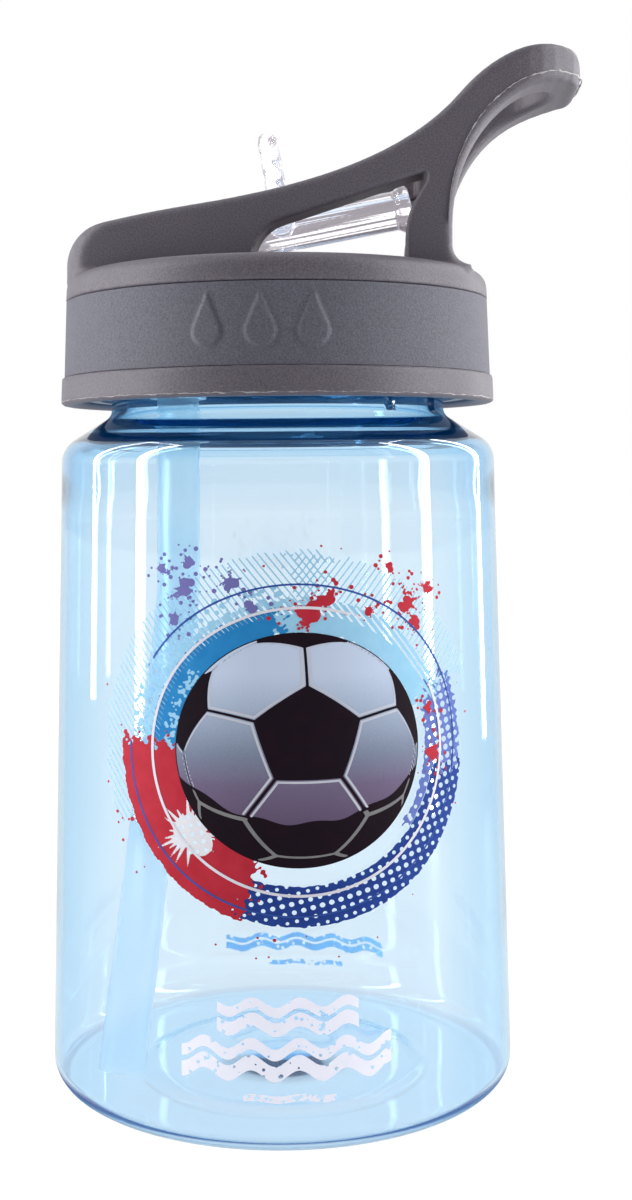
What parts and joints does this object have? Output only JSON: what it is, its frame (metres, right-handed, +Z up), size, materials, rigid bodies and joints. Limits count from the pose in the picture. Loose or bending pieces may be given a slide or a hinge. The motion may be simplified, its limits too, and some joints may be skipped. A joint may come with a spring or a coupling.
{
  "type": "kids water bottle",
  "caption": "Small clear drinking bottle with a screw lid, a flip-up spout, a bent straw and a rising carry loop.",
  "frame": {"origin": "centre of the foot, on the surface that the bottle stands on", "axes": "+Z up the bottle's axis, +X towards the carry loop"},
  "size_m": [0.0863, 0.074, 0.1625],
  "materials": {
    "clear_blue": "clear tinted plastic, polished",
    "liner_grey": "satin",
    "silicone": "matt, slightly translucent",
    "lid_grey": "fine spark-eroded grain",
    "band_grey": "matt soft touch",
    "clear": "clear, polished",
    "straw_milky": "milky translucent"
  },
  "bodies": {
    "bottle": {"bottle_body": "clear_blue"},
    "lid_seat": {"cap_gasket": "silicone"},
    "lid": {"cap_shell": "lid_grey", "threaded_liner": "liner_grey", "grip_band": "band_grey", "spout_seal": "silicone", "vent_valve": "silicone", "straw": "straw_milky"},
    "spout": {"spout": "clear"}
  },
  "joints": [
    {"name": "lid_rise", "type": "slide", "parent": "bottle", "child": "lid_seat", "axis": [0, 0, 1], "range_m": [0, 0.00676]},
    {"name": "lid_turn", "type": "hinge", "parent": "lid_seat", "child": "lid", "pos_m": [0, 0, 0.115], "axis": [0, 0, 1], "range_deg": [0, 540]},
    {"name": "spout_flip", "type": "hinge", "parent": "lid", "child": "spout", "pos_m": [-0.0165, 0, 0.1327], "axis": [0, -1, 0], "range_deg": [0, 80]}
  ],
  "couplings": [
    {"joint": "lid_rise", "follows": "lid_turn", "m_per_rad": 0.0007162}
  ]
}
